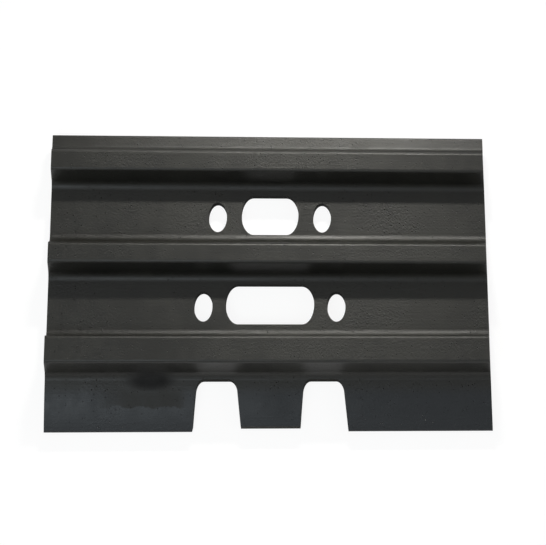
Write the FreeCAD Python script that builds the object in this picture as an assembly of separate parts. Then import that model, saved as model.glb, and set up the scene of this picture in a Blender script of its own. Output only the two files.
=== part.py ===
import FreeCAD, Part
import math
import os

# Triple-grouser track shoe of a crawler excavator, in mm.
# X runs along the width of the shoe, Y along the travel of the track, +Y towards the trailing
# edge, and Z from the chain to the ground. The origin is the middle of the four bolt holes, on
# the face that lies on the chain links, so the grousers stand up and the links would be below.
# A mill rolls the section in one long bar. The bar is cut to the width of the shoe, and a press
# then punches the bolt holes, the two mud slots and the two notches. There is one solid.

# The chain that the shoe fits
TRACK_PITCH = 215.9              # from one link pin to the next
BOLT_ROW_SPACING = 76.2          # between the two rows, along Y
TRAILING_BOLT_SPACING = 146.05   # along X, in the row near the trailing edge
LEADING_BOLT_SPACING = 184.15    # along X, in the row near the leading edge
BOLT_HOLE_DIAMETER = 25.4        # clears a 24 mm track bolt

# The rolled section
SHOE_WIDTH = 610.0
LEADING_REACH = 140.0            # from the bolt pattern's middle to the leading edge
NEIGHBOUR_LAP = 31.1             # how far the trailing lip reaches over the next shoe
PLATE_THICKNESS = 12.0
GROUSER_HEIGHT = 25.0            # above the outer face of the plate
LIP_THICKNESS = 11.0
LIP_RISE = 12.2                  # from the plate's outer face to the trailing edge's
LIP_TOP_SLOPE = 7.0              # the trailing lip's outer face falls to the edge, in degrees

# The grousers: the middle and the width of the tip along Y, and the lean of its two sides
TRAILING_TIP_Y = 82.9
TRAILING_TIP_WIDTH = 17.1
TRAILING_TIP_DRAFTS = (16.0, 16.5)
MIDDLE_TIP_Y = 3.0
MIDDLE_TIP_WIDTH = 16.8
MIDDLE_TIP_DRAFTS = (13.0, 13.0)
LEADING_TIP_Y = -78.0
LEADING_TIP_WIDTH = 22.3
LEADING_TIP_DRAFTS = (6.0, 12.0)

# The joggle that lifts the trailing lip, and the curve that drops the leading lip
JOGGLE_START_Y = 72.0
JOGGLE_ANGLE = 40.0
LIP_LEAVING_ANGLE = 7.0          # slope of the outer face where it leaves the leading grouser
LIP_END_ANGLE = 28.0             # slope of the outer face at the leading edge
LIP_CURVE_START_Y = -102.0

# The radii of the rolls
ROOT_RADIUS = 8.0
LIP_ROOT_RADIUS = 5.0
TIP_RADIUS = 3.0
EDGE_RADIUS = 2.0
JOGGLE_RADIUS = 10.0
LIP_OUTER_RADIUS = 105.0
LIP_INNER_RADIUS = 82.0

# The punched openings
SLOT_BREADTH = 34.0              # along Y, with round ends
TRAILING_SLOT_LENGTH = 80.0
LEADING_SLOT_LENGTH = 122.5
SLOT_SHIFT = 2.0                 # from each bolt row towards the trailing edge
NOTCH_ROOT_Y = -98.7
NOTCH_ROOT_WIDTH = 53.5
NOTCH_TAPER = 9.0                # lean of each side, wider at the leading edge
NOTCH_CORNER_RADIUS = 11.0
TONGUE_SETBACK = 4.5             # how much shorter the middle tongue is

# Worked out from the sizes above
TRAILING_REACH = TRACK_PITCH + NEIGHBOUR_LAP - LEADING_REACH
PLATE_TOP = PLATE_THICKNESS
TIP_TOP = PLATE_TOP + GROUSER_HEIGHT
LIP_TOP = PLATE_TOP + LIP_RISE
LIP_UNDERSIDE = LIP_TOP - LIP_THICKNESS
TRAILING_GROUSER = (TRAILING_TIP_Y, TRAILING_TIP_WIDTH, TRAILING_TIP_DRAFTS)
MIDDLE_GROUSER = (MIDDLE_TIP_Y, MIDDLE_TIP_WIDTH, MIDDLE_TIP_DRAFTS)
LEADING_GROUSER = (LEADING_TIP_Y, LEADING_TIP_WIDTH, LEADING_TIP_DRAFTS)
NOTCH_CENTRE_X = TRAILING_BOLT_SPACING / 2
TOOL_BOTTOM = -3 * PLATE_THICKNESS
TOOL_HEIGHT = TIP_TOP - TOOL_BOTTOM + PLATE_THICKNESS
SHORTEST_EDGE = 1e-6             # nearer than this, two arcs meet with no straight between them


def tan(degrees):
    return math.tan(math.radians(degrees))


def flank_y(grouser, side, height):
    """Y of a grouser's side at a height. Side is +1 for the trailing side, -1 for the leading."""
    tip_y, tip_width, drafts = grouser
    draft = drafts[0] if side > 0 else drafts[1]
    return tip_y + side * (tip_width / 2 + (TIP_TOP - height) * tan(draft))


def trailing_root_z():
    """Height at which the trailing lip's sloping outer face meets the trailing grouser."""
    foot_y = flank_y(TRAILING_GROUSER, 1, 0)
    rise = (TRAILING_REACH - foot_y) * tan(LIP_TOP_SLOPE)
    return (LIP_TOP + rise) / (1 - tan(TRAILING_TIP_DRAFTS[0]) * tan(LIP_TOP_SLOPE))


def leading_lip_points():
    """The four corners of the leading lip: outer root, outer bend, outer end and inner end."""
    root_y = flank_y(LEADING_GROUSER, -1, PLATE_TOP)
    turn = LIP_END_ANGLE - LIP_LEAVING_ANGLE
    tangent = LIP_OUTER_RADIUS * tan(turn / 2)
    bend_y = LIP_CURVE_START_Y - tangent * math.cos(math.radians(LIP_LEAVING_ANGLE))
    bend_z = PLATE_TOP + (bend_y - root_y) * tan(LIP_LEAVING_ANGLE)
    end_y = -LEADING_REACH
    end_z = bend_z + (end_y - bend_y) * tan(LIP_END_ANGLE)
    inner_y = end_y + PLATE_THICKNESS * math.sin(math.radians(LIP_END_ANGLE))
    inner_z = end_z - PLATE_THICKNESS * math.cos(math.radians(LIP_END_ANGLE))
    return (root_y, PLATE_TOP), (bend_y, bend_z), (end_y, end_z), (inner_y, inner_z)


def section_corners():
    """The corners of the rolled section as (y, z, radius), round from the joggle."""
    root, bend, end, inner = leading_lip_points()
    inner_bend_y = inner[0] - inner[1] / tan(LIP_END_ANGLE)
    joggle_end_y = JOGGLE_START_Y + LIP_UNDERSIDE / tan(JOGGLE_ANGLE)
    corners = [
        (JOGGLE_START_Y, 0, JOGGLE_RADIUS),
        (joggle_end_y, LIP_UNDERSIDE, JOGGLE_RADIUS),
        (TRAILING_REACH, LIP_UNDERSIDE, EDGE_RADIUS),
        (TRAILING_REACH, LIP_TOP, EDGE_RADIUS),
    ]
    corners += grouser_corners(TRAILING_GROUSER, trailing_root_z(), LIP_ROOT_RADIUS)
    corners += grouser_corners(MIDDLE_GROUSER, PLATE_TOP, ROOT_RADIUS)
    corners += grouser_corners(LEADING_GROUSER, PLATE_TOP, ROOT_RADIUS)
    corners += [
        (bend[0], bend[1], LIP_OUTER_RADIUS),
        (end[0], end[1], EDGE_RADIUS),
        (inner[0], inner[1], EDGE_RADIUS),
        (inner_bend_y, 0, LIP_INNER_RADIUS),
    ]
    return corners


def grouser_corners(grouser, root_z, root_radius):
    """A grouser from its trailing root over the tip to its leading root on the plate."""
    return [
        (flank_y(grouser, 1, root_z), root_z, root_radius),
        (flank_y(grouser, 1, TIP_TOP), TIP_TOP, TIP_RADIUS),
        (flank_y(grouser, -1, TIP_TOP), TIP_TOP, TIP_RADIUS),
        (flank_y(grouser, -1, PLATE_TOP), PLATE_TOP, ROOT_RADIUS),
    ]


def rounded_wire(corners, place):
    """A closed wire through the corners, each turned by a tangent arc that its sides have room for."""
    count = len(corners)
    points = [place(a, b) for a, b, radius in corners]
    inward = []
    tangents = []
    for i in range(count):
        back = (points[i - 1] - points[i]).normalize()
        ahead = (points[(i + 1) % count] - points[i]).normalize()
        turn = math.pi - back.getAngle(ahead)
        inward.append((back, ahead))
        tangents.append(corners[i][2] * math.tan(turn / 2))
    room = []
    for i in range(count):
        side = points[i].distanceToPoint(points[(i + 1) % count])
        taken = tangents[i] + tangents[(i + 1) % count]
        room.append(min(1.0, side / taken) if taken > 0 else 1.0)
    arcs = []
    for i in range(count):
        back, ahead = inward[i]
        tangent = tangents[i] * min(room[i - 1], room[i])
        if tangent < 0.01:
            arcs.append((points[i], None, points[i]))
            continue
        start = points[i] + back * tangent
        finish = points[i] + ahead * tangent
        half = back.getAngle(ahead) / 2
        axis = (back + ahead).normalize()
        centre_distance = tangent / math.cos(half)
        radius = tangent * math.tan(half)
        arcs.append((start, points[i] + axis * (centre_distance - radius), finish))
    edges = []
    for i in range(count):
        start, middle, finish = arcs[i]
        if middle is not None:
            edges.append(Part.Arc(start, middle, finish).toShape())
        next_start = arcs[(i + 1) % count][0]
        if finish.distanceToPoint(next_start) > SHORTEST_EDGE:
            edges.append(Part.LineSegment(finish, next_start).toShape())
    return Part.Wire(edges)


def rolled_bar():
    """The section, extruded along X to the width of the shoe."""
    def across(y, z):
        return FreeCAD.Vector(-SHOE_WIDTH / 2, y, z)

    section = Part.Face(rounded_wire(section_corners(), across))
    return section.extrude(FreeCAD.Vector(SHOE_WIDTH, 0, 0))


def punch(wire):
    """A press tool with this outline, through the whole height of the shoe."""
    return Part.Face(wire).extrude(FreeCAD.Vector(0, 0, TOOL_HEIGHT))


def plan(x, y):
    return FreeCAD.Vector(x, y, TOOL_BOTTOM)


def bolt_holes():
    """Four round holes, two in each row."""
    holes = []
    rows = [
        (BOLT_ROW_SPACING / 2, TRAILING_BOLT_SPACING),
        (-BOLT_ROW_SPACING / 2, LEADING_BOLT_SPACING),
    ]
    for row_y, spacing in rows:
        for side in (-1, 1):
            foot = plan(side * spacing / 2, row_y)
            holes.append(Part.makeCylinder(BOLT_HOLE_DIAMETER / 2, TOOL_HEIGHT, foot))
    return holes


def mud_slot(length, row_y):
    """A slot with round ends, which lets mud out from between the links."""
    x = length / 2
    y = row_y + SLOT_SHIFT
    half = SLOT_BREADTH / 2
    corners = [
        (-x, y - half, half),
        (x, y - half, half),
        (x, y + half, half),
        (-x, y + half, half),
    ]
    return punch(rounded_wire(corners, plan))


def notch(side):
    """A notch in the leading lip, where the next link swings. Its sides open to the edge."""
    mouth_y = -LEADING_REACH - PLATE_THICKNESS
    root = NOTCH_ROOT_WIDTH / 2
    mouth = root + (NOTCH_ROOT_Y - mouth_y) * tan(NOTCH_TAPER)
    centre = side * NOTCH_CENTRE_X
    corners = [
        (centre - root, NOTCH_ROOT_Y, NOTCH_CORNER_RADIUS),
        (centre - mouth, mouth_y, 0),
        (centre + mouth, mouth_y, 0),
        (centre + root, NOTCH_ROOT_Y, NOTCH_CORNER_RADIUS),
    ]
    return punch(rounded_wire(corners, plan))


def tongue_trim():
    """The strip that shortens the middle tongue, from one notch to the other."""
    far_y = -LEADING_REACH - PLATE_THICKNESS
    near_y = -LEADING_REACH + TONGUE_SETBACK
    x = NOTCH_CENTRE_X
    corners = [(-x, far_y, 0), (x, far_y, 0), (x, near_y, 0), (-x, near_y, 0)]
    return punch(rounded_wire(corners, plan))


def track_shoe():
    tools = bolt_holes()
    tools.append(mud_slot(TRAILING_SLOT_LENGTH, BOLT_ROW_SPACING / 2))
    tools.append(mud_slot(LEADING_SLOT_LENGTH, -BOLT_ROW_SPACING / 2))
    tools += [notch(-1), notch(1), tongue_trim()]
    shoe = rolled_bar()
    for tool in tools:
        shoe = shoe.cut(tool)
    return shoe.removeSplitter()


os.makedirs("parts", exist_ok=True)
shoe = track_shoe()
if shoe.ShapeType != "Solid":
    shoe = shoe.Solids[0]
shoe.exportStep("parts/track_shoe.step")
box = shoe.BoundBox
print(f"track_shoe {box.XLength:.1f} x {box.YLength:.1f} x {box.ZLength:.1f} mm")
print(f"lowest {box.ZMin:.2f}, volume {shoe.Volume / 1000:.1f} cm3, valid {shoe.isValid()}")
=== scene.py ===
# %% [markdown]
# # Triple-grouser track shoe
# A track shoe is one length of hot-rolled steel bar. The mill rolls the plate, the three
# grousers and both lips in one pass, a saw cuts the bar to the width of the track, and a press
# punches the bolt holes, the mud slots and the notches. It is then dipped in black paint.
# The frame gives the true shape and size of the shoe. This lesson gives it soft edges, a pitted
# skin of paint, a floor, light and a camera. All lengths are in metres.

# %% Load the frame
import math

import bmesh
import bpy
from mathutils import Matrix, Vector


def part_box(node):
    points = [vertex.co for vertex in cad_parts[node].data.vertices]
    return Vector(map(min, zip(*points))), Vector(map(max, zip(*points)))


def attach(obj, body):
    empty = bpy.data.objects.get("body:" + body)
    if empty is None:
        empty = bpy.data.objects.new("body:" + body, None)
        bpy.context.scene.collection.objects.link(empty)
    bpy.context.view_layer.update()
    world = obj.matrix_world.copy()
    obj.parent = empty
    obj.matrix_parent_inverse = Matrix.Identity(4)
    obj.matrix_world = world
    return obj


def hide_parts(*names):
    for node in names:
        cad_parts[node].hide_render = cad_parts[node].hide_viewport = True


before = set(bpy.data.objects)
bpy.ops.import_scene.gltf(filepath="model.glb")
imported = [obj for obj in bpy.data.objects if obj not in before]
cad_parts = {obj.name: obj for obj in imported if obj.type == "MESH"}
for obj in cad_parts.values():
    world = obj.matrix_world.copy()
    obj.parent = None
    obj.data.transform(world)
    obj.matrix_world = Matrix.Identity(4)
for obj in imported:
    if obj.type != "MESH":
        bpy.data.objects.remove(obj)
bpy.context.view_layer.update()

NODE = "track_shoe"
MM = 0.001
scene = bpy.context.scene
low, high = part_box(NODE)
print(f"{NODE}: {high.x - low.x:.3f} x {high.y - low.y:.3f} x {high.z - low.z:.3f} m")

# %% [markdown]
# ## One welded skin
# The frame's mesh is loose triangles, so every edge would shade as a crease. It could be drawn
# again from a section, but then its sizes would be written twice. Here a copy is welded, and
# triangles that lie in one plane are joined, so that each flat is one face and each rounded
# corner is a few strips. The saw's and the press's faces can then be picked out.

# %% Weld a copy of the shoe
WELD_GAP = 0.002 * MM
FLAT_ANGLE = math.radians(0.4)

skin = bmesh.new()
skin.from_mesh(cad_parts[NODE].data)
bmesh.ops.remove_doubles(skin, verts=skin.verts, dist=WELD_GAP)
bmesh.ops.dissolve_limit(
    skin, angle_limit=FLAT_ANGLE, verts=skin.verts, edges=skin.edges, delimit={"NORMAL"}
)
skin.normal_update()
open_edges = [e for e in skin.edges if len(e.link_faces) != 2]
print(f"welded skin: {len(skin.faces)} faces, {len(open_edges)} open edges")

# %% [markdown]
# ## Which tool made each face
# Rolled faces run the whole width of the shoe. Sawn faces are its two ends. Punched faces stand
# upright in the holes, slots and notches. Each kind gets its own finish, so each face is marked
# with a material index now, while the faces are still large and easy to tell apart.

# %% Mark the faces
ROLLED, SAWN, PUNCHED = range(3)
UPRIGHT = 0.02
ENDWAYS = 0.9
EDGE_GAP = 1 * MM


def maker_of(face):
    middle = face.calc_center_median()
    if abs(face.normal.x) > ENDWAYS and abs(middle.x) > high.x - EDGE_GAP:
        return SAWN
    upright = abs(face.normal.z) < UPRIGHT
    if upright and middle.y < high.y - EDGE_GAP:
        return PUNCHED
    return ROLLED


for face in skin.faces:
    face.material_index = maker_of(face)
counts = [sum(f.material_index == kind for f in skin.faces) for kind in (ROLLED, SAWN, PUNCHED)]
print("rolled, sawn and punched faces:", counts)

# %% [markdown]
# ## Soft edges
# Nothing on a real shoe is knife-sharp. The press drags the rim of a hole down as it enters, the
# saw's burr is ground off, and the paint rounds what is left. A Bevel modifier would round the
# rolled corners again, so the bevel operator is used on the cut edges alone. The rims on the
# grouser side, where the press enters, are rounder than those behind.

# %% Bevel the cut edges
ENTRY_ROUND = 1.5 * MM
EXIT_ROUND = 0.7 * MM
END_ROUND = 0.8 * MM
ROUND_STEPS = 3


def soften(edges, width):
    """Rounds these edges and returns the new faces."""
    made = bmesh.ops.bevel(
        skin, geom=edges, offset=width, offset_type="OFFSET", affect="EDGES",
        segments=ROUND_STEPS, profile=0.5, material=-1, clamp_overlap=True,
    )
    return made["faces"]


def edges_between(first, second, side=None):
    """Edges where a face of one kind meets one of the other, facing up or down if side is given."""
    found = []
    for edge in skin.edges:
        if len(edge.link_faces) != 2:
            continue
        a, b = edge.link_faces
        kinds = {a.material_index, b.material_index}
        if kinds != {first, second}:
            continue
        rolled = a if a.material_index == ROLLED else b
        if side is None or rolled.normal.z * side > 0:
            found.append(edge)
    return found


for kind, side, width in (
    (PUNCHED, 1, ENTRY_ROUND),
    (PUNCHED, -1, EXIT_ROUND),
    (SAWN, None, END_ROUND),
):
    faces = soften(edges_between(ROLLED, kind, side), width)
    for face in faces:
        face.material_index = ROLLED
    print(f"rounded {len(faces)} faces at {width / MM:.1f} mm")

# %% [markdown]
# ## The shoe itself
# The finished skin becomes a mesh and stands in for the frame's plain shoe. Smooth shading would
# make the wide flats look swollen beside their narrow rounded edges, so a Weighted Normal modifier
# lets the large faces decide.

# %% Make the piece
FLAT_FACE_WEIGHT = 80

shoe_mesh = bpy.data.meshes.new("shoe")
skin.normal_update()
skin.to_mesh(shoe_mesh)
skin.free()
shoe_mesh.shade_smooth()
shoe = bpy.data.objects.new("shoe", shoe_mesh)
scene.collection.objects.link(shoe)
flatten = shoe.modifiers.new("flats_stay_flat", "WEIGHTED_NORMAL")
flatten.keep_sharp = True
flatten.weight = FLAT_FACE_WEIGHT
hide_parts(NODE)
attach(shoe, "root")
print("shoe:", len(shoe_mesh.polygons), "faces")

# %% [markdown]
# ## Helpers for materials
# A material is a net of nodes. Written out in full, each node takes four or five lines, so a few
# short helpers keep the net readable: a node with its values, a sum, a ramp, a noise, a blend of
# two colours, a stretched place and an empty group.

# %% Node helpers


def add_node(tree, kind, inputs=None, **settings):
    """A node of that kind. Inputs holds values or the sockets that feed it, by socket name."""
    node = tree.nodes.new(kind)
    for name, value in settings.items():
        setattr(node, name, value)
    for name, value in (inputs or {}).items():
        if isinstance(value, bpy.types.NodeSocket):
            tree.links.new(value, node.inputs[name])
        else:
            node.inputs[name].default_value = value
    return node


def sum_node(tree, operation, *values, clamp=False):
    """The output of a Math node on these numbers or sockets."""
    node = tree.nodes.new("ShaderNodeMath")
    node.operation = operation
    node.use_clamp = clamp
    for place, value in enumerate(values):
        if isinstance(value, bpy.types.NodeSocket):
            tree.links.new(value, node.inputs[place])
        else:
            node.inputs[place].default_value = value
    return node.outputs[0]


def ramp(tree, value, start, finish, low_value=0.0, high_value=1.0):
    """Goes smoothly from one value to another as the input passes from start to finish."""
    node = add_node(
        tree, "ShaderNodeMapRange",
        {"Value": value, "From Min": start, "From Max": finish,
         "To Min": low_value, "To Max": high_value},
        interpolation_type="SMOOTHSTEP", clamp=True,
    )
    return node.outputs["Result"]


def noise(tree, place, scale, detail=2.0, roughness=0.5):
    """A noise texture's value, for a place and a number of lumps per metre."""
    node = add_node(
        tree, "ShaderNodeTexNoise",
        {"Vector": place, "Scale": scale, "Detail": detail, "Roughness": roughness},
    )
    return node.outputs["Fac"]


def blend_colour(tree, mask, first, second):
    """First where the mask is 0, and second where it is 1."""
    node = tree.nodes.new("ShaderNodeMix")
    node.data_type = "RGBA"
    factor, colours, made = node.inputs[0], (node.inputs[6], node.inputs[7]), node.outputs[2]
    for socket, value in ((factor, mask), (colours[0], first), (colours[1], second)):
        if isinstance(value, bpy.types.NodeSocket):
            tree.links.new(value, socket)
        else:
            socket.default_value = value
    return made


def stretch(tree, place, scale):
    """The place with each axis multiplied, so that a pattern on it runs long or short."""
    node = add_node(tree, "ShaderNodeMapping", {"Vector": place, "Scale": scale})
    return node.outputs["Vector"]


def new_group(name, inputs, outputs):
    """An empty node group with these sockets, and its two end nodes."""
    group = bpy.data.node_groups.new(name, "ShaderNodeTree")
    for title, kind, value in inputs:
        socket = group.interface.new_socket(title, in_out="INPUT", socket_type=kind)
        if value is not None:
            socket.default_value = value
    for title, kind in outputs:
        group.interface.new_socket(title, in_out="OUTPUT", socket_type=kind)
    return group, group.nodes.new("NodeGroupInput"), group.nodes.new("NodeGroupOutput")


FLOAT = "NodeSocketFloat"
VECTOR = "NodeSocketVector"
COLOUR = "NodeSocketColor"

# %% [markdown]
# ## The skin of rolled steel under paint
# Hot steel grows scale. The rolls press some of it in and break some off, which leaves specks that
# stand proud and pits about a millimetre across, more of them in some patches than in others. The
# rolls also drag fine marks along the bar. Paint fills the finest of it and keeps the rest, so the
# skin looks like fine leather. A group makes this once, as a height, and the rolled and sawn
# finishes each take it at their own strength.

# %% Group: pitted skin
SPECK_CELLS = 340.0         # cells per metre, of which a few hold a speck or a pit
SPECK_CORE, SPECK_RIM = 0.05, 0.27
SPECK_SHARE, PIT_SHARE = 0.14, 0.12
PEEL_SCALE = 430.0
PATCH_SCALE = 9.0
PATCH_EDGES = (0.40, 0.60)
PATCH_LEAST = 0.35          # share of the relief that the smoothest patches keep
ROLL_MARK_STRETCH = (8.0, 520.0, 520.0)

pitted, pitted_in, pitted_out = new_group(
    "pitted_skin",
    [("Place", VECTOR, None), ("Specks", FLOAT, 1.0), ("Peel", FLOAT, 1.0),
     ("Roll Marks", FLOAT, 1.0)],
    [("Height", FLOAT)],
)
place = pitted_in.outputs["Place"]
cells = add_node(pitted, "ShaderNodeTexVoronoi", {"Vector": place, "Scale": SPECK_CELLS})
lot = add_node(pitted, "ShaderNodeSeparateColor", {"Color": cells.outputs["Color"]}).outputs["Red"]
dome = ramp(pitted, cells.outputs["Distance"], SPECK_CORE, SPECK_RIM, 1.0, 0.0)
proud = sum_node(pitted, "GREATER_THAN", lot, 1.0 - SPECK_SHARE)
sunk = sum_node(pitted, "LESS_THAN", lot, PIT_SHARE)
specks = sum_node(pitted, "MULTIPLY", dome, sum_node(pitted, "SUBTRACT", proud, sunk))
patches = ramp(pitted, noise(pitted, place, PATCH_SCALE, 2.0), *PATCH_EDGES, PATCH_LEAST, 1.0)
peel = noise(pitted, place, PEEL_SCALE, 4.0, 0.70)
marks = noise(pitted, stretch(pitted, place, ROLL_MARK_STRETCH), 1.0, 3.0, 0.6)
height = sum_node(pitted, "MULTIPLY", peel, pitted_in.outputs["Peel"])
depth = sum_node(pitted, "MULTIPLY", specks, pitted_in.outputs["Specks"])
height = sum_node(pitted, "MULTIPLY", sum_node(pitted, "ADD", height, depth), patches)
marks = sum_node(pitted, "MULTIPLY", marks, pitted_in.outputs["Roll Marks"])
pitted.links.new(sum_node(pitted, "ADD", height, marks), pitted_out.inputs["Height"])
print("group:", pitted.name, len(pitted.nodes), "nodes")

# %% [markdown]
# ## The tone of the paint
# Thin black paint over bare steel isn't one black. It dries in clouds, greener where it is thin
# and bluer where the scale shows through. The second group mixes two tones by a slow noise and
# gives a roughness that goes with them.

# %% Group: paint tone
CLOUD_SCALE = 7.0
MOTTLE_SCALE = 60.0
CLOUD_SHARE, MOTTLE_SHARE = 0.55, 0.45
TONE_EDGES = (0.38, 0.62)
ROUGHNESS_SWING = 0.08

tone, tone_in, tone_out = new_group(
    "paint_tone",
    [("Place", VECTOR, None), ("Thick", COLOUR, (0.03, 0.03, 0.03, 1)),
     ("Thin", COLOUR, (0.04, 0.04, 0.04, 1)), ("Roughness", FLOAT, 0.4)],
    [("Colour", COLOUR), ("Roughness", FLOAT)],
)
place = tone_in.outputs["Place"]
clouds = noise(tone, place, CLOUD_SCALE, 3.0, 0.6)
mottle = noise(tone, place, MOTTLE_SCALE, 3.0, 0.6)
clouds = sum_node(tone, "MULTIPLY", clouds, CLOUD_SHARE)
mixed = sum_node(tone, "MULTIPLY_ADD", mottle, MOTTLE_SHARE, clouds)
cloud_mask = ramp(tone, mixed, *TONE_EDGES)
tone.links.new(
    blend_colour(tone, cloud_mask, tone_in.outputs["Thick"], tone_in.outputs["Thin"]),
    tone_out.inputs["Colour"],
)
spread = sum_node(tone, "MULTIPLY_ADD", cloud_mask, ROUGHNESS_SWING, -ROUGHNESS_SWING / 2)
tone.links.new(
    sum_node(tone, "ADD", spread, tone_in.outputs["Roughness"], clamp=True),
    tone_out.inputs["Roughness"],
)
print("group:", tone.name, len(tone.nodes), "nodes")

# %% [markdown]
# ## Painted steel, in three finishes
# All three finishes are the same paint, so one function makes the shader and its tone, one takes
# the pitted skin at a finish's own strength, and each finish adds what its own tool left. The gloss
# of the paint comes from the Principled shader's plain specular layer, and its numbers stay on the
# shader's own sockets.

# %% Paint shader
PAINT_THICK = (0.0085, 0.0084, 0.0066, 1)
PAINT_THIN = (0.0130, 0.0128, 0.0098, 1)
# The lip's blue is a painted sheen: it stands in for the bluish light that the sloping lip mirrors.
LIP_SHEEN_BLUE = (0.0085, 0.0110, 0.0135, 1)
SPECULAR = 0.5


def painted(name, roughness, specular=SPECULAR):
    """A painted steel material. Returns it with its tree, shader, place and coat node."""
    material = bpy.data.materials.new(name)
    material.use_nodes = True
    tree = material.node_tree
    shader = tree.nodes["Principled BSDF"]
    shader.inputs["Specular IOR Level"].default_value = specular
    place = tree.nodes.new("ShaderNodeTexCoord").outputs["Object"]
    coat_node = add_node(tree, "ShaderNodeGroup", node_tree=tone)
    coat_node.inputs["Thick"].default_value = PAINT_THICK
    coat_node.inputs["Thin"].default_value = PAINT_THIN
    coat_node.inputs["Roughness"].default_value = roughness
    tree.links.new(place, coat_node.inputs["Place"])
    tree.links.new(coat_node.outputs["Roughness"], shader.inputs["Roughness"])
    return material, tree, shader, place, coat_node


def pitted_height(tree, place, specks, peel, roll_marks):
    """The height of the pitted skin, with each of its parts at this strength."""
    skin_node = add_node(tree, "ShaderNodeGroup", node_tree=pitted)
    for socket, value in (("Specks", specks), ("Peel", peel), ("Roll Marks", roll_marks)):
        skin_node.inputs[socket].default_value = value
    tree.links.new(place, skin_node.inputs["Place"])
    return skin_node.outputs["Height"]


def relief(tree, shader, height, depth):
    """Feeds a height into the shader's normal, as a relief of that depth."""
    bump = add_node(tree, "ShaderNodeBump", {"Height": height, "Distance": depth, "Strength": 1.0})
    tree.links.new(bump.outputs["Normal"], shader.inputs["Normal"])


# %% [markdown]
# The leading lip is painted bluer than the rest, as a painted sheen for the bluish light that it
# mirrors as it slopes away. On the left of it a dull olive patch runs down from the grouser, where
# the dip left a second coat, with a black blob near its top. The patch's lower edge hangs in
# scallops, so a noise that changes only along the bar moves that edge.

# %% Finish of the rolled faces
RELIEF_DEPTH = 0.45 * MM
# Where the painted bluish sheen on the lip begins, and where it is full.
LIP_SHEEN_FROM = low.y + 38 * MM
LIP_SHEEN_TO = low.y + 26 * MM
PATCH_LEFT = (low.x + 60 * MM, low.x + 120 * MM)
PATCH_RIGHT = (low.x + 196 * MM, low.x + 178 * MM)
PATCH_EDGE = low.y + 23.5 * MM
SCALLOP_LENGTH = 60.0       # scallops per metre
SCALLOP_DROP = 11 * MM
PATCH_BLUR = 1.5 * MM
BLOB_MIDDLE = Vector((low.x + 142 * MM, low.y + 40 * MM, 0.0))
BLOB_REACH = Vector((44 * MM, 12 * MM, 1.0))
BLOB_BLACK = (0.0020, 0.0020, 0.0018, 1)
DULL = 0.14                 # rise in roughness where the patch is dull
BLACK_DULLING = 2.5         # how many times that, in the black blob
BLOB_CORE = 0.3             # share of the blob's reach that is fully black


def blob(tree, place, middle, reach):
    """1 in the middle of an oval on the XY plane and 0 beyond its reach."""
    offset = add_node(tree, "ShaderNodeVectorMath", {0: place, 1: middle}, operation="SUBTRACT")
    flat = (1 / reach.x, 1 / reach.y, 0.0)
    scaled = add_node(
        tree, "ShaderNodeVectorMath", {0: offset.outputs[0], 1: flat}, operation="MULTIPLY"
    )
    length = add_node(tree, "ShaderNodeVectorMath", {0: scaled.outputs[0]}, operation="LENGTH")
    return ramp(tree, length.outputs["Value"], 1.0, BLOB_CORE)


rolled, tree, shader, place, coat_node = painted("rolled_face_paint", roughness=0.47)
axes = add_node(tree, "ShaderNodeSeparateXYZ", {"Vector": place})
along, across = axes.outputs["X"], axes.outputs["Y"]
lip_sheen_mask = ramp(tree, across, LIP_SHEEN_FROM, LIP_SHEEN_TO)
scallops = noise(tree, stretch(tree, place, (SCALLOP_LENGTH, 0.0, 0.0)), 1.0, 2.0)
above = sum_node(tree, "MULTIPLY_ADD", scallops, SCALLOP_DROP, across)
patch = ramp(tree, above, PATCH_EDGE, PATCH_EDGE + PATCH_BLUR)
patch = sum_node(tree, "MULTIPLY", patch, ramp(tree, along, *PATCH_LEFT))
patch = sum_node(tree, "MULTIPLY", patch, ramp(tree, along, *PATCH_RIGHT))
patch = sum_node(tree, "MULTIPLY", patch, lip_sheen_mask)
# The lip takes the painted bluish sheen, except in the dull patch.
painted_sheen = sum_node(tree, "SUBTRACT", lip_sheen_mask, patch)
colour = blend_colour(tree, painted_sheen, coat_node.outputs["Colour"], LIP_SHEEN_BLUE)
black = blob(tree, place, BLOB_MIDDLE, BLOB_REACH)
tree.links.new(blend_colour(tree, black, colour, BLOB_BLACK), shader.inputs["Base Color"])
dull = sum_node(tree, "MAXIMUM", patch, sum_node(tree, "MULTIPLY", black, BLACK_DULLING))
dulled = sum_node(tree, "MULTIPLY_ADD", dull, DULL, coat_node.outputs["Roughness"])
tree.links.new(dulled, shader.inputs["Roughness"])
height = pitted_height(tree, place, specks=1.7, peel=0.95, roll_marks=0.15)
relief(tree, shader, height, RELIEF_DEPTH)
print("finish:", rolled.name, len(tree.nodes), "nodes")

# %% [markdown]
# The saw leaves the two ends nearly flat, with fine straight marks across the section. They run
# up the face, so the noise is stretched along Z.

# %% Finish of the sawn ends
SAW_MARK_STRETCH = (60.0, 1500.0, 40.0)
SAW_MARK_SHARE = 0.8
SAW_DEPTH = 0.2 * MM

sawn, tree, shader, place, coat_node = painted("sawn_end_paint", roughness=0.42)
saw_marks = noise(tree, stretch(tree, place, SAW_MARK_STRETCH), 1.0, 2.0, 0.6)
height = pitted_height(tree, place, specks=0.2, peel=0.5, roll_marks=0.0)
height = sum_node(tree, "MULTIPLY_ADD", saw_marks, SAW_MARK_SHARE, height)
tree.links.new(coat_node.outputs["Colour"], shader.inputs["Base Color"])
relief(tree, shader, height, SAW_DEPTH)
print("finish:", sawn.name, len(tree.nodes), "nodes")

# %% [markdown]
# A punch shears the first part of the plate cleanly and tears the rest. The clean band has fine
# upright scratches, and the torn band below it is coarse. The walls are rougher and less glossy
# than the faces, or they would shine as pale crescents at the rims.

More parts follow.
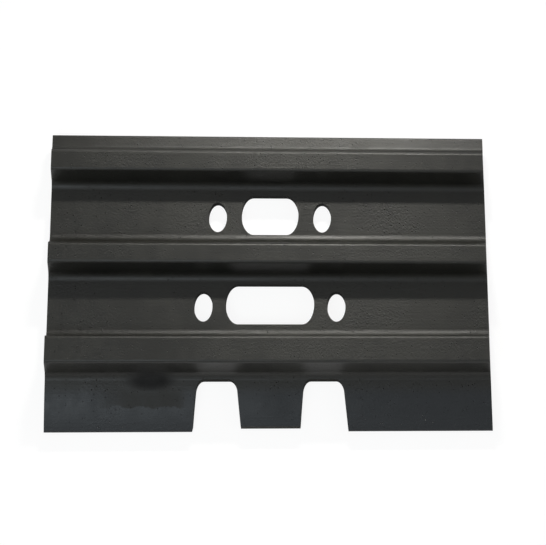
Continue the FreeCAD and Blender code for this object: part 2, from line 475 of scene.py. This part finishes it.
# %% Finish of the punched walls
SHEAR_STRETCH = (1200.0, 1200.0, 30.0)
SCRATCH_SHARE = 0.4
TEAR_SCALE = 420.0
TEAR_SHARE = 3.0
TEAR_FROM, TEAR_TO = 10 * MM, 8.5 * MM
TEAR_WANDER = 4 * MM        # how far the edge between the two bands strays
WANDER_SCALE = 90.0
PUNCH_DEPTH = 0.25 * MM

punched, tree, shader, place, coat_node = painted(
    "punched_wall_paint", roughness=0.75, specular=0.12
)
axes = add_node(tree, "ShaderNodeSeparateXYZ", {"Vector": place})
ragged = noise(tree, place, WANDER_SCALE, 2.0)
level = sum_node(tree, "MULTIPLY_ADD", ragged, TEAR_WANDER, axes.outputs["Z"])
torn = ramp(tree, level, TEAR_FROM, TEAR_TO)
scratches = noise(tree, stretch(tree, place, SHEAR_STRETCH), 1.0, 1.0)
tear = noise(tree, place, TEAR_SCALE, 4.0, 0.65)
tear = sum_node(tree, "MULTIPLY", sum_node(tree, "MULTIPLY", tear, TEAR_SHARE), torn)
height = sum_node(tree, "MULTIPLY_ADD", scratches, SCRATCH_SHARE, tear)
tree.links.new(coat_node.outputs["Colour"], shader.inputs["Base Color"])
relief(tree, shader, height, PUNCH_DEPTH)

for material in (rolled, sawn, punched):
    shoe_mesh.materials.append(material)
print("finishes:", [m.name for m in shoe_mesh.materials])

# %% [markdown]
# ## A floor that the shoe lies on
# Face up, a shoe rests on the end of its leading lip and on the back of the plate, so the ground
# under it is a few degrees off the plate. The floor takes that slope: it turns about the lowest
# line of the lip until it meets the plate.

# %% Lay the floor
FLOOR_SIZE = 60.0

feet = [v.co for v in shoe_mesh.vertices]
lip_foot = min(feet, key=lambda co: co.z)
behind = [co for co in feet if co.y > lip_foot.y + (high.y - low.y) / 4]
floor_slope = min((co.z - lip_foot.z) / (co.y - lip_foot.y) for co in behind)
print(f"floor slope: {math.degrees(math.atan(floor_slope)):.2f} degrees")

floor_bm = bmesh.new()
bmesh.ops.create_grid(floor_bm, x_segments=1, y_segments=1, size=FLOOR_SIZE / 2)
turn = Matrix.Rotation(math.atan(floor_slope), 4, "X")
lay = Matrix.Translation((0, lip_foot.y, lip_foot.z)) @ turn
bmesh.ops.transform(floor_bm, matrix=lay, verts=floor_bm.verts)
floor_mesh = bpy.data.meshes.new("floor")
floor_bm.to_mesh(floor_mesh)
floor_bm.free()
floor = bpy.data.objects.new("floor", floor_mesh)
scene.collection.objects.link(floor)

# %% [markdown]
# The floor glows a plain white where it is looked at or mirrored in the paint, keeps a pale shadow,
# and lights the shoe as white paper would. A white floor under strong lamps could do the same, but
# then the shoe would be too bright.

# %% Floor material
SHADOW_NEAR, SHADOW_FAR = 0.5, 3.0
FLOOR_GLOW = 0.90
FLOOR_SHADOW = 0.14
FLOOR_WHITE = 0.80
UNDER_GLOW = 0.40          # the paper under the shoe lies in its shadow, so gloss sees it grey
UNDER_BLUR = 20 * MM


def seen_directly(tree):
    """1 where a camera, a gloss or a clear surface looks at it, and 0 where it only lights."""
    path = tree.nodes.new("ShaderNodeLightPath")
    seen = path.outputs["Is Camera Ray"]
    for ray in ("Is Glossy Ray", "Is Transmission Ray"):
        seen = sum_node(tree, "MAXIMUM", seen, path.outputs[ray])
    return seen


floor_material = bpy.data.materials.new("floor_paper")
floor_material.use_nodes = True
tree = floor_material.node_tree
tree.nodes.clear()
place = tree.nodes.new("ShaderNodeTexCoord").outputs["Object"]
reach = add_node(tree, "ShaderNodeVectorMath", {0: place}, operation="LENGTH").outputs["Value"]
glow = ramp(tree, reach, SHADOW_NEAR, SHADOW_FAR, FLOOR_GLOW, 1.0)
axes = add_node(tree, "ShaderNodeSeparateXYZ", {"Vector": place})
under = 1.0
for axis, limit in (("X", high.x), ("Y", -low.y)):
    side = sum_node(tree, "ABSOLUTE", axes.outputs[axis])
    under = sum_node(tree, "MULTIPLY", ramp(tree, side, limit, limit - UNDER_BLUR), under)
gloss = tree.nodes.new("ShaderNodeLightPath").outputs["Is Glossy Ray"]
under = sum_node(tree, "MULTIPLY", under, gloss)
dimming = sum_node(tree, "MULTIPLY_ADD", under, UNDER_GLOW - 1.0, 1.0)
glow = sum_node(tree, "MULTIPLY", glow, dimming)
shade = ramp(tree, reach, SHADOW_NEAR, SHADOW_FAR, FLOOR_SHADOW, 0.0)
glow_shader = add_node(tree, "ShaderNodeEmission", {"Strength": glow})
shade_colour = add_node(tree, "ShaderNodeCombineColor", {0: shade, 1: shade, 2: shade})
shade_shader = add_node(tree, "ShaderNodeBsdfDiffuse", {"Color": shade_colour.outputs[0]})
shown = add_node(
    tree, "ShaderNodeAddShader", {0: glow_shader.outputs[0], 1: shade_shader.outputs[0]}
)
paper = add_node(tree, "ShaderNodeBsdfDiffuse", {"Color": (FLOOR_WHITE,) * 3 + (1,)})
both = add_node(
    tree, "ShaderNodeMixShader",
    {0: seen_directly(tree), 1: paper.outputs[0], 2: shown.outputs[0]},
)
tree.links.new(both.outputs[0], tree.nodes.new("ShaderNodeOutputMaterial").inputs["Surface"])
floor_mesh.materials.append(floor_material)
print("finish:", floor_material.name, len(tree.nodes), "nodes")

# %% [markdown]
# ## Studio light
# A long narrow lamp behind the trailing edge, half-way up, gives each grouser a crisp shadow on
# the plate. A wide lamp in front, a little to the left, lifts the fillets and the leading lip. A
# third stands at the right and lights that end of the bar.

# %% Lamps


def lamp(name, toward, distance, size, power, colour=(1, 1, 1), spread=180.0):
    """A rectangular lamp that faces the shoe. Toward is its direction from the shoe's middle."""
    data = bpy.data.lights.new(name, "AREA")
    data.shape = "RECTANGLE"
    data.size, data.size_y = size
    data.energy = power
    data.color = colour
    data.spread = math.radians(spread)
    lamp_object = bpy.data.objects.new(name, data)
    direction = Vector(toward).normalized()
    lamp_object.location = direction * distance
    across = Vector((1, 0, 0))
    up = direction.cross(across).normalized()
    across = up.cross(direction)
    lamp_object.rotation_euler = Matrix((across, up, direction)).transposed().to_euler()
    scene.collection.objects.link(lamp_object)
    print(f"lamp {name}: {distance:.2f} m away, {power:.1f} W")


KEY_HEIGHT = math.radians(44.0)
lamp(
    "key_lamp", toward=(0.13, math.cos(KEY_HEIGHT), math.sin(KEY_HEIGHT)), distance=0.90,
    size=(0.20, 0.05), power=1.8, colour=(1.0, 0.98, 0.92), spread=80.0,
)
lamp(
    "front_lamp", toward=(-0.35, -0.46, 0.88), distance=1.5,
    size=(0.7, 0.35), power=4.5, colour=(0.84, 0.94, 1.0),
)
lamp("side_lamp", toward=(0.85, -0.15, 0.50), distance=1.5, size=(0.6, 0.4), power=2.0)

# %% [markdown]
# The room itself is dim overhead. Low down it is white where it is looked at or mirrored, so that
# it meets the floor without a line, and dark where it only lights.

# %% Room
ROOM_OVERHEAD = 0.42
ROOM_LOW = 0.06
WHITE_TO = 0.18
DIM_FROM = 0.40

world = bpy.data.worlds.new("room")
scene.world = world
world.use_nodes = True
tree = world.node_tree
tree.nodes.clear()
direction = tree.nodes.new("ShaderNodeTexCoord").outputs["Generated"]
rise = add_node(tree, "ShaderNodeSeparateXYZ", {"Vector": direction}).outputs["Z"]
white_band = ramp(tree, rise, WHITE_TO, DIM_FROM, 1.0, 0.0)
white = sum_node(tree, "MULTIPLY", white_band, seen_directly(tree))
dim = ramp(tree, rise, 0.0, 1.0, ROOM_LOW, ROOM_OVERHEAD)
dim = add_node(tree, "ShaderNodeCombineColor", {0: dim, 1: dim, 2: dim}).outputs[0]
level = blend_colour(tree, white, dim, (1, 1, 1, 1))
background = add_node(tree, "ShaderNodeBackground", {"Color": level, "Strength": 1.0})
tree.links.new(background.outputs[0], tree.nodes.new("ShaderNodeOutputWorld").inputs["Surface"])

scene.view_settings.view_transform = "Standard"
print(f"room: {ROOM_OVERHEAD} overhead, {ROOM_LOW} low down")

# %% [markdown]
# ## The camera
# The shoe is looked at almost from above and drawn narrow, as on a sheet that is held aslant. A
# lens shift can't do that. Instead the camera hangs from an easel whose three directions aren't
# square to each other, so the picture plane is skewed while the shoe keeps its true shape. Any
# other view takes the camera off the easel, and is plain.

# %% Camera on its easel
SENSOR_WIDTH = 36.0         # millimetres, like the lens
LENS_LENGTH = 371.01099
PLATE_TOP = 12 * MM
CAMERA_PLACE = Vector((0.443, -1.549, 8.059 + PLATE_TOP))
PICTURE_RIGHT = Vector((0.9667, -0.0463, 0.2515)).normalized()
PICTURE_UP = Vector((0.0500, 0.4115, 0.9100)).normalized()
PICTURE_BACK = Vector((0.0534, -0.1874, 0.9808)).normalized()

camera_data = bpy.data.cameras.new("camera")
camera_data.sensor_width = SENSOR_WIDTH
camera_data.lens = LENS_LENGTH
camera_data.clip_end = 100.0
camera = bpy.data.objects.new("camera", camera_data)
easel = bpy.data.objects.new("easel", None)
scene.collection.objects.link(easel)
scene.collection.objects.link(camera)
camera.parent = easel
skew = Matrix((PICTURE_RIGHT, PICTURE_UP, PICTURE_BACK)).transposed().to_4x4()
camera.matrix_parent_inverse = Matrix.Translation(CAMERA_PLACE) @ skew
scene.camera = camera
bpy.context.view_layer.update()
print("camera looks from", [round(x, 3) for x in camera.matrix_world.translation])
